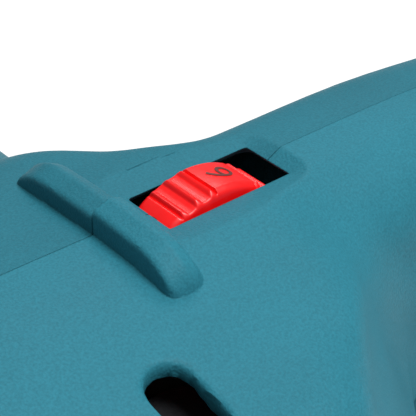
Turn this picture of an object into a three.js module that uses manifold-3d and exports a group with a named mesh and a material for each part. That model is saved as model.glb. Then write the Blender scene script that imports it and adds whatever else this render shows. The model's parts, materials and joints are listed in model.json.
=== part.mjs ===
// An electric hand planer for an 82 mm cut: a moulded two-half housing with a closed rear handle, on a cast base.
// Millimetres. +X is the planing direction, +Y is the operator's left and +Z is up.
// Shapes are drawn with x = 0 at the cutter axis, y = 0 on the housing's parting plane and z = 0 at the sole.
// The whole tool is then moved so that the origin is the bottom centre of its bounding box.
import * as THREE from "three";
import { mergeVertices } from "three/addons/utils/BufferGeometryUtils.js";
import Module from "manifold-3d";

const wasm = await Module();
wasm.setup();

// ---------------------------------------------------------------- driving dimensions
const GAP = 0.3; // between touching pieces
const WALL = 3; // housing wall

const CUT_WIDTH = 82;
const CUTTER = { z: 28, drumR: 26, tipR: 27.7, boreR: 6.3, shaftR: 6 };
const SOLE = { front: 128, mouthFront: 31.5, mouthRear: -29.5, rear: -180, halfWidth: 46, thick: 6 };
const DEPTH = { knobX: 86, screwR: 4.2, postR: 9 };

const TOP = 160; // crown line of the housing
const CROWN_R = 94; // radius of the crowned top across the tool
const BODY = { left: 50, right: -47, rear: -74, front: 36, bottomFront: 59 }; // wide part of the housing
// Its rear corners are cut by leaning planes: distance of each from x = y = z = 0, and their tilt.
const REAR_CORNER = { left: 97.2, right: 92.2, lean: 15.8 };
const BARREL = { x: -12, z: 114, r: 38, right: -68 }; // end of the motor on the right
const MOTOR = { x: -10, z: 114, statorR: 27.5, boreR: 17.3, coreR: 16.6, shaftR: 4 };
const FRAME = { left: 50, right: -47, cheekLeft: 42, cheekRight: -42, top: 52, hump: 61, deckTop: 26, rear: -176, front: 108 };
const HANDLE = { halfWidth: 21, halfHeight: 20.5, cornerR: 14 };

const DIAL = { x: -44.1, z: 143.8, r: 16.6, halfWidth: 4.6, stubR: 3 };
const WINDOW = { front: -32.8, rear: -58.5, halfWidth: 5.6, rim: 158.1 };
const POCKET = { front: -31, rear: -60.5, halfWidth: 10.5, cornerR: 5 };
const RIB = { front: -21.4, rear: -33, height: 164.8, archR: 60, leftEnd: 20, rightEnd: -22, step: 1.1 };
const TRIGGER_PIVOT = { x: -76.5, z: 128 };
const LOCK = { x: -102, z: 139, r: 5.6, flangeR: 7.6, inner: 12.2, outer: 24.5 };

const BELT = { near: 58, far: 70, thick: 2.2, drumPulleyR: 18, motorPulleyR: 12 };
const COVER = { outer: 78, wall: 2.5, drumR: 25.5, motorR: 25 };
const OUTLET = { x: 46, z: 32, r: 17.5, boreR: 14.8, end: -74 };

// Bounding box of the finished tool, used only to centre it.
const BOX = { front: SOLE.front, rear: -186, left: COVER.outer, right: OUTLET.end };

// ---------------------------------------------------------------- materials
function material(color, roughness, metalness) {
  return new THREE.MeshStandardMaterial({ color, roughness, metalness });
}
const teal = material(0x3f8795, 0.55, 0);
const red = material(0xf01818, 0.3, 0);
const black = material(0x1c1d1f, 0.6, 0);
const aluminium = material(0xb9bcc0, 0.4, 1);
const steel = material(0x9a9da1, 0.35, 1);
const copper = material(0xb4693c, 0.4, 1);
const rubber = material(0x161616, 0.85, 0);
const graphite = material(0x2b2b2d, 0.7, 0);
const white = material(0xe6e4dc, 0.5, 0);

// ---------------------------------------------------------------- solids
function solidOf(geometry) {
  const bare = geometry.clone();
  bare.deleteAttribute("normal");
  bare.deleteAttribute("uv");
  const merged = mergeVertices(bare, 1e-3);
  const mesh = new wasm.Mesh({
    numProp: 3,
    vertProperties: merged.attributes.position.array,
    triVerts: new Uint32Array(merged.index.array),
  });
  return new wasm.Manifold(mesh);
}

function geometryOf(solid) {
  const mesh = solid.getMesh();
  const geometry = new THREE.BufferGeometry();
  geometry.setAttribute("position", new THREE.BufferAttribute(mesh.vertProperties, 3));
  geometry.setIndex(new THREE.BufferAttribute(mesh.triVerts, 1));
  geometry.computeVertexNormals();
  return geometry;
}

const join = (first, ...others) => others.reduce((whole, piece) => whole.add(piece), first);
const cut = (first, ...tools) => tools.reduce((whole, tool) => whole.subtract(tool), first);
const common = (first, ...others) => others.reduce((whole, piece) => whole.intersect(piece), first);

// A block between two opposite corners.
function block([x0, y0, z0], [x1, y1, z1]) {
  const box = new THREE.BoxGeometry(x1 - x0, y1 - y0, z1 - z0);
  return solidOf(box.translate((x0 + x1) / 2, (y0 + y1) / 2, (z0 + z1) / 2));
}

// A cylinder along Y, centred on (x, z), from y0 to y1.
function rodY(x, z, radius, y0, y1, sides = 24) {
  const rod = new THREE.CylinderGeometry(radius, radius, y1 - y0, sides);
  return solidOf(rod.translate(x, (y0 + y1) / 2, z));
}

// A cylinder along Z, centred on (x, y), from z0 to z1.
function rodZ(x, y, radius, z0, z1, sides = 24) {
  const rod = new THREE.CylinderGeometry(radius, radius, z1 - z0, sides);
  return solidOf(rod.rotateX(Math.PI / 2).translate(x, y, (z0 + z1) / 2));
}

const tubeY = (outer, inner, y0, y1, sides = 24) =>
  cut(rodY(0, 0, outer, y0, y1, sides), rodY(0, 0, inner, y0 - 1, y1 + 1, sides));

// A side-view outline (x, z) given thickness from y0 to y1.
function sideExtrude(shape, y0, y1, curveSegments = 12) {
  const slab = new THREE.ExtrudeGeometry(shape, { depth: y1 - y0, bevelEnabled: false, curveSegments });
  return solidOf(slab.rotateX(Math.PI / 2).translate(0, y1, 0));
}

// A front-view outline (y, z) given thickness from x0 to x1.
function frontExtrude(shape, x0, x1, curveSegments = 12) {
  const slab = new THREE.ExtrudeGeometry(shape, { depth: x1 - x0, bevelEnabled: false, curveSegments });
  return solidOf(slab.rotateX(Math.PI / 2).rotateZ(Math.PI / 2).translate(x0, 0, 0));
}

// A plan outline (x, y) given thickness from z0 to z1.
function planExtrude(shape, z0, z1, curveSegments = 12) {
  const slab = new THREE.ExtrudeGeometry(shape, { depth: z1 - z0, bevelEnabled: false, curveSegments });
  return solidOf(slab.translate(0, 0, z0));
}

// A profile of [radius, height] pairs turned about Z.
function turned(profile, segments = 24) {
  const points = profile.map(([r, h]) => new THREE.Vector2(r, h));
  return solidOf(new THREE.LatheGeometry(points, segments).rotateX(Math.PI / 2));
}

// The same turned about Y, the profile's heights running along +Y.
function turnedY(profile, segments = 24) {
  const points = profile.map(([r, h]) => new THREE.Vector2(r, h));
  return solidOf(new THREE.LatheGeometry(points, segments));
}

function polygon(points) {
  return new THREE.Shape(points.map(([a, b]) => new THREE.Vector2(a, b)));
}

// A rectangle with rounded corners, between (x0, y0) and (x1, y1).
function roundedRect(x0, y0, x1, y1, r) {
  const shape = new THREE.Shape();
  shape.moveTo(x0 + r, y0);
  shape.lineTo(x1 - r, y0);
  shape.absarc(x1 - r, y0 + r, r, -Math.PI / 2, 0, false);
  shape.lineTo(x1, y1 - r);
  shape.absarc(x1 - r, y1 - r, r, 0, Math.PI / 2, false);
  shape.lineTo(x0 + r, y1);
  shape.absarc(x0 + r, y1 - r, r, Math.PI / 2, Math.PI, false);
  shape.lineTo(x0, y0 + r);
  shape.absarc(x0 + r, y0 + r, r, Math.PI, 1.5 * Math.PI, false);
  return shape;
}

// The outline of a belt that wraps two circles: lower circle (x0, z0, r0), upper circle (x1, z1, r1).
function beltOutline(x0, z0, r0, x1, z1, r1) {
  const along = Math.atan2(z1 - z0, x1 - x0);
  const lean = Math.acos((r0 - r1) / Math.hypot(x1 - x0, z1 - z0));
  const shape = new THREE.Shape();
  shape.absarc(x1, z1, r1, along - lean, along + lean, false);
  shape.absarc(x0, z0, r0, along + lean, along - lean + 2 * Math.PI, false);
  return shape;
}

// ---------------------------------------------------------------- scene graph
const planer = new THREE.Group();
planer.position.set(-(BOX.front + BOX.rear) / 2, -(BOX.left + BOX.right) / 2, 0);

function add(name, solid, finish, parent = planer, position = [0, 0, 0]) {
  const mesh = new THREE.Mesh(geometryOf(solid), finish);
  mesh.name = name;
  mesh.position.set(...position);
  parent.add(mesh);
  return mesh;
}

function groupAt(x, y, z) {
  const group = new THREE.Group();
  group.position.set(x, y, z);
  planer.add(group);
  return group;
}

// ---------------------------------------------------------------- fasteners
// A pan-head screw with its seat at the origin, head towards +Z and shank towards -Z.
function screwSolid(shankR, headR, headH, length) {
  const head = turned([[0, -length], [shankR, -length], [shankR, 0], [headR, 0], [headR, headH], [0, headH]], 10);
  return cut(head, rodZ(0, 0, headR * 0.45, headH * 0.4, headH + 1, 6));
}

function addScrew(name, [x, y, z], direction, { shankR = 1.6, headR = 3.4, headH = 2.4, length = 14 }) {
  const screw = add(name, screwSolid(shankR, headR, headH, length), steel, planer, [x, y, z]);
  if (direction === "-y") screw.rotation.x = Math.PI / 2;
  if (direction === "+y") screw.rotation.x = -Math.PI / 2;
  if (direction === "-z") screw.rotation.x = Math.PI;
  return screw;
}

// ---------------------------------------------------------------- housing
// The crowned roof: everything below an arc across the tool, sunk by the inset.
function crown(inset) {
  const shape = new THREE.Shape();
  const r = CROWN_R - inset;
  const left = BODY.left - inset;
  const right = BARREL.right + inset;
  const shoulder = 43;
  const edge = TOP - CROWN_R + Math.sqrt(r * r - shoulder * shoulder);
  shape.moveTo(right, 10);
  shape.lineTo(left, 10);
  shape.lineTo(left, edge - 9);
  shape.quadraticCurveTo(left, edge - 3, shoulder, edge);
  shape.absarc(0, TOP - CROWN_R, r, Math.acos(shoulder / r), Math.PI - Math.acos(shoulder / r), false);
  shape.quadraticCurveTo(right + 12, edge - 5, right, edge - 22);
  return frontExtrude(shape, -80, 70, 8);
}

// The end of the motor, standing out on the right.
const barrel = (inset) => rodY(BARREL.x, BARREL.z, BARREL.r - inset, BARREL.right + inset, BODY.right + 4, 32);

// What a rear corner loses: all that lies beyond a leaning plane at 45 degrees to the tool's length.
const rearCorner = (distance, turn) =>
  block([distance, -150, -200], [distance + 150, 150, 200]).rotate([0, -REAR_CORNER.lean, turn]);

// The wide body around the motor and over the cutter, with the sloping nose in front.
function wideBody(inset) {
  const outline = polygon([
    [BODY.rear + 2 + inset, FRAME.top + GAP + inset],
    [-46, FRAME.top + GAP + inset],
    [-40, FRAME.hump + GAP + inset],
    [40, FRAME.hump + GAP + inset],
    [46, FRAME.top + GAP + inset],
    [BODY.bottomFront - inset, FRAME.top + GAP + inset],
    [BODY.bottomFront - inset, 62 - inset / 2],
    [50 - inset, 74 - inset],
    [BODY.front + 4 - inset, 90 - inset],
    [BODY.front - inset, 104],
    [BODY.front - inset, 134],
    [BODY.front - 4 - inset, 148 - inset / 2],
    [22 - inset / 2, 157 - inset],
    [8, TOP + 1 - inset],
    [-20, TOP + 1 - inset],
    [-46 + inset / 2, TOP - 0.5 - inset],
    [-60 + inset / 2, 152 - inset],
    [-68 + inset, 140 - inset / 2],
    [-72 + inset, 130],
    [BODY.rear + inset, 115],
    [BODY.rear + inset, 90],
  ]);
  return cut(
    sideExtrude(outline, BODY.right + inset, BODY.left - inset),
    rearCorner(REAR_CORNER.left - inset, 135),
    rearCorner(REAR_CORNER.right - inset, -135),
  );
}

// The low tail under the handle.
function tail(inset) {
  const plan = new THREE.Shape();
  const wide = 44 - inset;
  const narrow = 37 - inset;
  plan.moveTo(-50, -wide);
  plan.lineTo(-90, -wide);
  plan.quadraticCurveTo(-180 + inset, -narrow, -180 + inset, -12);
  plan.lineTo(-180 + inset, 12);
  plan.quadraticCurveTo(-180 + inset, narrow, -90, wide);
  plan.lineTo(-50, wide);
  const side = polygon([
    [-184, FRAME.deckTop + GAP + inset],
    [-68.5 + inset, FRAME.deckTop + GAP + inset],
    [-56 + inset, FRAME.top + GAP + inset],
    [-50, FRAME.top + GAP + inset],
    [-50, 66 - inset],
    [-70, 58 - inset],
    [-140, 54 - inset],
    [-184, 58 - inset],
  ]);
  return common(planExtrude(plan, 20, 80, 5), sideExtrude(side, -60, 60));
}

// The closed rear handle: one oval section swept from the neck to the tail.
function handle(inset) {
  const centreLine = new THREE.CatmullRomCurve3(
    [
      [-40, 139.5], [-62, 139.5], [-95, 138], [-128, 132], [-152, 118], [-164.5, 94], [-164, 68], [-156, 44],
    ].map(([x, z]) => new THREE.Vector3(x, 0, z)),
  );
  const half = HANDLE.halfHeight - inset;
  const section = roundedRect(-half, -half, half, half, HANDLE.cornerR - inset);
  const sweep = new THREE.ExtrudeGeometry(section, { steps: 14, extrudePath: centreLine, curveSegments: 3 });
  return common(solidOf(sweep), block([-190, -40, FRAME.deckTop + GAP + inset], [40, 40, TOP - inset]));
}

const envelope = (inset) =>
  join(common(join(wideBody(inset), barrel(inset)), crown(inset)), tail(inset), handle(inset));

// Screws that close the housing from the right: x, z and the y of the head's seat.
const CLOSING_SCREWS = [
  { x: 50, z: 61.5, seat: -30 },
  { x: -49, z: 63, seat: -30 },
  { x: -70, z: 144, seat: -14 },
  { x: -141, z: 126, seat: -13 },
  { x: -164.5, z: 84, seat: -13 },
  { x: -112, z: 41, seat: -28 },
];
const POST_R = 4.4;
const HEAD_HOLE_R = 3.8;
const SHANK_HOLE_R = 2;

const posts = () => CLOSING_SCREWS.map(({ x, z }) => rodY(x, z, POST_R, -60, 60, 10));

// Guard rib in front of the dial: steep towards the front, sloping back to the window, arched across.
function rib(y0, y1, lower) {
  const top = RIB.height - lower;
  const side = new THREE.Shape();
  side.moveTo(RIB.front, 150);
  side.lineTo(RIB.front, top - 1.4);
  side.quadraticCurveTo(RIB.front - 0.4, top, RIB.front - 3, top);
  side.quadraticCurveTo(RIB.front - 6, top, RIB.rear, WINDOW.rim);
  side.lineTo(RIB.rear, 150);
  const across = new THREE.Shape();
  across.absarc(0, top - RIB.archR, RIB.archR, 0, 2 * Math.PI, false);
  return common(sideExtrude(side, y0, y1), frontExtrude(across, -60, 0, 16));
}

// Air slots over the fan, in a row from the crown forwards and down the front.
const SLOT = { halfWidth: 3.8, y0: 30.3, y1: 44, angles: [2, 30, 58], depth: [24, 70] };
function airSlots(y0, y1) {
  const lying = roundedRect(-SLOT.halfWidth, y0, SLOT.halfWidth, y1, SLOT.halfWidth - 0.1);
  return SLOT.angles.map((angle) =>
    planExtrude(lying, ...SLOT.depth, 4).rotate([0, angle, 0]).translate([BARREL.x, 0, BARREL.z]),
  );
}

// Openings that both halves share.
function openings() {
  const pocket = roundedRect(POCKET.rear, -POCKET.halfWidth, POCKET.front + 10, POCKET.halfWidth, POCKET.cornerR);
  return [
    planExtrude(pocket, WINDOW.rim, 175, 4),
    block([-113, -9.5, 105], [-75.8, 9.5, 130]), // trigger
    rodY(LOCK.x, LOCK.z, LOCK.r + 0.6, 0, 40, 16), // lock button, left side only
    rodX(-200, -170, 76, 7.5), // cable gland
  ];
}

// A cylinder along X at height z, on the parting plane.
function rodX(x0, x1, z, radius, sides = 20) {
  const rod = new THREE.CylinderGeometry(radius, radius, x1 - x0, sides);
  return solidOf(rod.rotateZ(Math.PI / 2).translate((x0 + x1) / 2, 0, z));
}

// Rings inside the housing that carry the stator and the two motor bearings.
function motorSeats() {
  const ring = (outer, inner, y0, y1) => tubeY(outer, inner, y0, y1, 18).translate([MOTOR.x, 0, MOTOR.z]);
  return [
    ring(46, MOTOR.statorR + 0.8, -22, -18),
    ring(46, MOTOR.statorR + 0.8, 8, 12),
    ring(12.5, 9.5 + GAP, -66, -52.5),
    ring(14.5, 11.6 + GAP, 42.5, 48),
  ];
}

function housing() {
  const outer = envelope(0);
  const inner = envelope(WALL);
  // The pocket floor keeps a full wall under it, so the cavity stops lower there.
  const roof = block([POCKET.rear - 3, -POCKET.halfWidth - 3, WINDOW.rim - WALL], [RIB.front + 2, POCKET.halfWidth + 3, 170]);
  const screwPosts = posts().map((post) => common(post, outer));
  const core = envelope(1);
  const seats = motorSeats().map((seat) => common(seat, core));
  const shell = join(cut(outer, cut(inner, roof)), ...screwPosts, ...seats);
  return cut(shell, ...openings());
}

function shells() {
  const whole = housing();
  const half = GAP / 2;
  let left = join(common(whole, block([-200, half, 0], [100, 90, 200])), rib(half, RIB.leftEnd, 0));
  let right = join(common(whole, block([-200, -90, 0], [100, -half, 200])), rib(RIB.rightEnd, -half, RIB.step));
  const windowCut = join(
    block([WINDOW.rear, -WINDOW.halfWidth, 145], [WINDOW.front, WINDOW.halfWidth, 175]),
    rodY(DIAL.x, DIAL.z, DIAL.r + 0.6, -WINDOW.halfWidth, WINDOW.halfWidth, 28), // wheel well
  );
  left = cut(
    left,
    windowCut,
    ...CLOSING_SCREWS.map(({ x, z }) => rodY(x, z, SHANK_HOLE_R, -1, 12, 10)),
    ...airSlots(SLOT.y0, SLOT.y1),
    rodY(MOTOR.x, MOTOR.z, 11.6 + GAP, 40, 60), // motor shaft and bearing
    ...COVER_LUGS.filter(([, z]) => z > FRAME.top).map(([x, z]) => rodY(x, z, 1.9, 40, 60, 10)),
  );
  right = cut(
    right,
    windowCut,
    ...CLOSING_SCREWS.map(({ x, z, seat }) => rodY(x, z, HEAD_HOLE_R, -80, seat, 12)),
    ...CLOSING_SCREWS.map(({ x, z }) => rodY(x, z, SHANK_HOLE_R, -60, 1, 10)),
    ...airSlots(-SLOT.y1, -SLOT.y0),
    ...BRUSH_ANGLES.map((angle) => brushHole(angle)),
  );
  add("left_housing_shell", left, teal);
  add("right_housing_shell", right, teal);
  CLOSING_SCREWS.forEach(({ x, z, seat }, i) =>
    addScrew(`housing_screw_${i + 1}`, [x, seat - 0.2, z], "-y", { length: -seat + 10 }),
  );
}

// ---------------------------------------------------------------- belt cover
const COVER_LUGS = [[-10, 144.5], [24.5, 84], [-31.5, 40]];

function beltCover() {
  const outline = (grow) =>
    beltOutline(0, CUTTER.z, COVER.drumR + grow, MOTOR.x, MOTOR.z, COVER.motorR + grow);
  const outer = join(
    sideExtrude(outline(0), FRAME.left + GAP, COVER.outer - 3, 12),
    sideExtrude(outline(-3), FRAME.left + GAP, COVER.outer, 12),
    ...COVER_LUGS.map(([x, z]) => rodY(x, z, 6, FRAME.left + GAP, FRAME.left + 6, 16)),
  );
  const inner = sideExtrude(outline(-COVER.wall - 1), FRAME.left - 1, COVER.outer - 4, 12);
  const holes = COVER_LUGS.map(([x, z]) => rodY(x, z, 2.2, 40, 70, 10));
  add("belt_cover", cut(outer, inner, ...holes), black);
  COVER_LUGS.forEach(([x, z], i) =>
    addScrew(`belt_cover_screw_${i + 1}`, [x, FRAME.left + 6.2, z], "+y", { length: 11 }),
  );
}

// ---------------------------------------------------------------- cast base
const FENCE_BOSS = { x: 100, z: 24, r: 8, end: -50 };

// Cored-out pockets of the casting, open downwards over the two shoes.
function corePockets() {
  const underTail = block([-150, -24, 0], [-62, 24, 22]);
  const behindDrum = block([-56, -28, 0], [-34, 28, 46]);
  const overFrontShoe = block([70, -34, 0], [120, 34, 30]);
  const knobPillar = rodZ(DEPTH.knobX, 0, 14, -1, 50, 20);
  return [underTail, behindDrum, cut(overFrontShoe, knobPillar)];
}

function baseFrame() {
  const side = polygon([
    [FRAME.rear, SOLE.thick + GAP], [30, SOLE.thick + GAP], [30, 12], [FRAME.front, 12],
    [FRAME.front, 32], [112, 42], [60, FRAME.top], [45.6, FRAME.top], [39.6, FRAME.hump], [-39.6, FRAME.hump],
    [-45.6, FRAME.top], [-56, FRAME.top], [-68.5, FRAME.deckTop], [FRAME.rear, FRAME.deckTop],
  ]);
  const plan = new THREE.Shape();
  plan.moveTo(-90, FRAME.right + 1);
  plan.lineTo(-56, FRAME.right);
  plan.lineTo(FRAME.front - 14, FRAME.right);
  plan.quadraticCurveTo(FRAME.front, FRAME.right, FRAME.front, FRAME.right + 18);
  plan.lineTo(FRAME.front, 29);
  plan.quadraticCurveTo(FRAME.front, 47, FRAME.front - 14, 47);
  plan.lineTo(38, 47);
  plan.lineTo(32, FRAME.left);
  plan.lineTo(-56, FRAME.left);
  plan.lineTo(-90, 45);
  plan.quadraticCurveTo(FRAME.rear, 40, FRAME.rear, 14);
  plan.lineTo(FRAME.rear, -14);
  plan.quadraticCurveTo(FRAME.rear, -40, -90, FRAME.right + 1);
  const knobSeat = rodZ(DEPTH.knobX, 0, 25, 30, FRAME.top, 32);
  const boss = rodY(FENCE_BOSS.x, FENCE_BOSS.z, FENCE_BOSS.r, FENCE_BOSS.end, FRAME.right + 2, 20);
  const cutterSpace = join(
    rodY(0, CUTTER.z, 29.6, FRAME.cheekRight, FRAME.cheekLeft, 36),
    block([SOLE.mouthRear + 0.5, FRAME.cheekRight, 0], [31, FRAME.cheekLeft, CUTTER.z]),
  );
  const chipChamber = block([20, -44, 18], [66, 38, 46]);
  const solid = cut(
    join(common(sideExtrude(side, -60, 60), planExtrude(plan, 0, 70)), boss, knobSeat),
    cutterSpace,
    chipChamber,
    rodY(OUTLET.x, OUTLET.z, OUTLET.boreR, -60, -30),
    rodY(0, CUTTER.z, 11, -60, -30),
    rodY(0, CUTTER.z, 16, 30, 60),
    rodZ(DEPTH.knobX, 0, DEPTH.postR + 0.6, 0, 44, 20),
    rodZ(DEPTH.knobX, 0, DEPTH.screwR + GAP, 40, 70, 16),
    rodY(FENCE_BOSS.x, FENCE_BOSS.z, 3.3, -60, -36, 12),
    ...corePockets(),
    ...COVER_LUGS.filter(([, z]) => z < FRAME.top).map(([x, z]) => rodY(x, z, 1.9, 40, 60, 10)),
    ...REAR_SCREWS.map(([x, y]) => rodZ(x, y, 2.4, 0, 16, 10)),
  );
  add("base_frame", solid, aluminium);
}

const REAR_SCREWS = [[-44, -34], [-44, 34], [-168, -14], [-168, 14]];
const V_GROOVE = 5; // half width and depth of the chamfering groove

function soleGroove(x0, x1, y) {
  return frontExtrude(polygon([[y - V_GROOVE, -0.5], [y + V_GROOVE, -0.5], [y, V_GROOVE - 0.5]]), x0, x1);
}

function rearShoe() {
  const plate = planExtrude(roundedRect(SOLE.rear, -SOLE.halfWidth, -90, SOLE.halfWidth, 12), 0, SOLE.thick, 6);
  const front = block([-110, -SOLE.halfWidth, 0], [SOLE.mouthRear, SOLE.halfWidth, SOLE.thick]);
  const sinks = REAR_SCREWS.map(([x, y]) => rodZ(x, y, 4.6, -1, 3.4, 12));
  const holes = REAR_SCREWS.map(([x, y]) => rodZ(x, y, 2.6, -1, 10, 10));
  add("rear_shoe", cut(join(plate, front), ...sinks, ...holes), aluminium);
  REAR_SCREWS.forEach(([x, y], i) =>
    addScrew(`rear_shoe_screw_${i + 1}`, [x, y, 3.2], "-z", { shankR: 2, headR: 4.1, headH: 2.2, length: 11 }),
  );
}

// ---------------------------------------------------------------- front shoe and depth adjustment
function depthAdjustment() {
  const nose = SOLE.front;
  const side = new THREE.Shape();
  side.moveTo(SOLE.mouthFront + 2, 0);
  side.lineTo(nose - 9, 0);
  side.quadraticCurveTo(nose - 2, 0, nose, 7);
  side.lineTo(nose - 3, 8.5);
  side.lineTo(nose - 10, 6.5);
  side.lineTo(SOLE.mouthFront, 6.5);
  side.lineTo(SOLE.mouthFront, 3);
  const post = rodZ(DEPTH.knobX, 0, DEPTH.postR, 4, 38, 20);
  const plate = common(
    sideExtrude(side, -SOLE.halfWidth, SOLE.halfWidth),
    planExtrude(roundedRect(-20, -SOLE.halfWidth, nose, SOLE.halfWidth, 10), -1, 12, 6),
  );
  const shoe = cut(
    join(plate, post),
    rodZ(DEPTH.knobX, 0, DEPTH.screwR + GAP, 9, 60, 16),
    soleGroove(SOLE.mouthFront - 1, nose + 1, 0),
  );
  add("front_shoe", shoe, aluminium);

  const knob = groupAt(DEPTH.knobX, 0, 0);
  const screw = join(rodZ(0, 0, DEPTH.screwR, 15, 84, 16), rodZ(0, 0, 7, 53, 56, 16));
  add("depth_screw", screw, steel, knob);
  const grip = turned([
    [0, 58.5], [23, 58.5], [24, 60], [22.5, 64], [15.5, 70], [14.5, 76], [19, 84], [24.5, 90], [25.5, 95], [22, 99.5], [12, 101.5], [0, 102],
  ], 28);
  add("depth_knob", cut(grip, rodZ(0, 0, DEPTH.screwR + GAP, 50, 85, 16), rodZ(0, 0, 7.4, 50, 58.6, 16)), black, knob);
  add("depth_scale_ring", closedRing(11, 25.2, 52.4, 58, 23.4), red, planer, [DEPTH.knobX, 0, 0]);
}

// A ring with a sloping outer face, about Z.
function closedRing(inner, outer, z0, z1, topOuter) {
  return cut(turned([[0, z0], [outer, z0], [outer, z0 + 1.5], [topOuter, z1], [0, z1]], 36), rodZ(0, 0, inner, z0 - 1, z1 + 1));
}

// ---------------------------------------------------------------- cutter
const BLADE_LEAN = 60; // degrees that the first blade stands back from straight up

function cutter() {
  const group = groupAt(0, 0, CUTTER.z);
  group.rotation.y = THREE.MathUtils.degToRad(BLADE_LEAN);
  const half = CUT_WIDTH / 2 - 0.5;
  const slot = block([-4.6, -60, 13], [4.6, 60, 40]);
  const drum = cut(
    rodY(0, 0, CUTTER.drumR, -half, half, 40),
    rodY(0, 0, CUTTER.boreR, -60, 60, 20),
    slot,
    slot.rotate([0, 180, 0]),
  );
  add("cutter_drum", drum, steel, group);
  const blade = block([-4.3, -half, 14], [-3.1, half, CUTTER.tipR]);
  const clampOutline = polygon([[-2.8, 13.3], [4.3, 13.3], [4.3, 24.6], [1, 25.6], [-2.8, 23.5]]);
  const clamp = sideExtrude(clampOutline, -half, half);
  const screwHoles = [-26, 26].map((y) => rodZ(0.7, y, 2.3, 19, 40, 10));
  ["a", "b"].forEach((side, i) => {
    const turn = new THREE.Group();
    turn.rotation.y = i * Math.PI;
    group.add(turn);
    add(`blade_${side}`, blade, steel, turn);
    add(`blade_clamp_${side}`, cut(clamp, ...screwHoles), aluminium, turn);
    [-26, 26].forEach((y, k) =>
      add(`clamp_screw_${side}${k + 1}`, rodZ(0.7, y, 2, 19.3, 24.2, 8), steel, turn),
    );
  });
  const shaft = join(rodY(0, 0, CUTTER.shaftR, -48.5, 56, 20), rodY(0, 0, 4.7, 55, 73, 20));
  add("drum_shaft", shaft, steel, group);
  add("drum_pulley", pulley(BELT.drumPulleyR, 5), black, group);
  const bearing = groupAt(0, 0, CUTTER.z);
  add("drum_bearing_right", tubeY(10.7, CUTTER.boreR, -46.8, -42.2), steel, bearing);
  add("drum_bearing_left", tubeY(15.7, CUTTER.boreR, 43, 49.8), steel, bearing);
  add("drum_end_cap", cut(rodY(0, 0, 14, -50, -47.3, 28), rodY(0, 0, 6.4, -49, -40, 20)), black, bearing);
}

// A pulley about Y with three belt grooves, between BELT.near and BELT.far.
function pulley(radius, bore) {
  const width = BELT.far - BELT.near;
  const groove = 1.2;
  const profile = [[0, BELT.near - 1], [radius + 1.6, BELT.near - 1], [radius + 1.6, BELT.near]];
  for (let i = 0; i < 3; i++) {
    const y = BELT.near + (i + 0.5) * (width / 3);
    profile.push([radius, y - 1.6], [radius - groove, y], [radius, y + 1.6]);
  }
  profile.push([radius, BELT.far], [0, BELT.far]);
  return cut(turnedY(profile, 20), rodY(0, 0, bore, 40, 90, 20));
}

// ---------------------------------------------------------------- motor
const BRUSH_ANGLES = [90, -90]; // from straight up, towards the front and the rear
const BRUSH_Y = -44.5;

// Room for a brush holder through the wall between the body and the motor end.
function brushHole(angle) {
  return rodZ(0, 0, 7.5, 20, 42.3, 16).rotate([0, angle, 0]).translate([MOTOR.x, BRUSH_Y, MOTOR.z]);
}

function sector(inner, outer, from, to, y0, y1) {
  const a0 = THREE.MathUtils.degToRad(from);
  const a1 = THREE.MathUtils.degToRad(to);
  const shape = new THREE.Shape();
  shape.absarc(0, 0, outer, a0, a1, false);
  shape.absarc(0, 0, inner, a1, a0, true);
  return sideExtrude(shape, y0, y1, 4);
}

function motor() {
  const still = groupAt(MOTOR.x, 0, MOTOR.z);
  const stack = [-24, 14];
  const yoke = cut(tubeY(MOTOR.statorR, MOTOR.boreR, ...stack, 32), ...[0, 180].map((a) => sector(16, 24.5, a - 32, a + 32, -30, 20)));
  add("motor_stator", yoke, steel, still);
  [["lower", 2], ["upper", 182]].forEach(([name, start]) => {
    const heads = [[stack[0] - 5, stack[0] - 1], [stack[1] + 1, stack[1] + 5]].map(([y0, y1]) => sector(19, 24, start, start + 176, y0, y1));
    const arms = [start, start + 150].map((a) => sector(19, 24, a, a + 26, stack[0] - 5, stack[1] + 5));
    add(`field_coil_${name}`, join(...arms, ...heads), copper, still);
  });
  add("motor_bearing_right", tubeY(9.5, MOTOR.shaftR + GAP, -58.5, -52.5, 20), steel, still);
  add("motor_bearing_left", tubeY(11.6, MOTOR.shaftR + GAP, 42, 49, 20), steel, still);

  const turning = groupAt(MOTOR.x, 0, MOTOR.z);
  add("armature_shaft", rodY(0, 0, MOTOR.shaftR, -60, 73, 16), steel, turning);
  const slots = Array.from({ length: 12 }, (_, i) =>
    block([-1.3, -30, MOTOR.coreR - 5], [1.3, 30, MOTOR.coreR + 2]).rotate([0, i * 30, 0]),
  );
  const bore = rodY(0, 0, MOTOR.shaftR + GAP, -60, 60, 16);
  add("armature_core", cut(rodY(0, 0, MOTOR.coreR, stack[0], stack[1], 36), bore, ...slots), steel, turning);
  add("commutator", cut(rodY(0, 0, 11.5, -52, -37, 24), bore), copper, turning);
  add("cooling_fan", fan(), white, turning);
  add("drive_pulley", pulley(BELT.motorPulleyR, MOTOR.shaftR + GAP), steel, turning);
  const end = 39; // the caps stay just inside the housing
  BRUSH_ANGLES.forEach((angle, i) => {
    const side = groupAt(MOTOR.x, BRUSH_Y, MOTOR.z);
    side.rotation.y = THREE.MathUtils.degToRad(angle);
    add(`carbon_brush_${i + 1}`, block([-2.6, -3.6, 11.9], [2.6, 3.6, 21]), graphite, side);
    add(`brush_holder_${i + 1}`, cut(block([-5, -5, 14], [5, 5, end - 6]), block([-2.9, -3.9, 10], [2.9, 3.9, end])), black, side);
    add(`brush_cap_${i + 1}`, cut(rodZ(0, 0, 5.9, end - 5, end + 3, 16), block([-5, -0.8, end + 1.5], [5, 0.8, end + 5])), black, side);
  });
}

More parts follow.
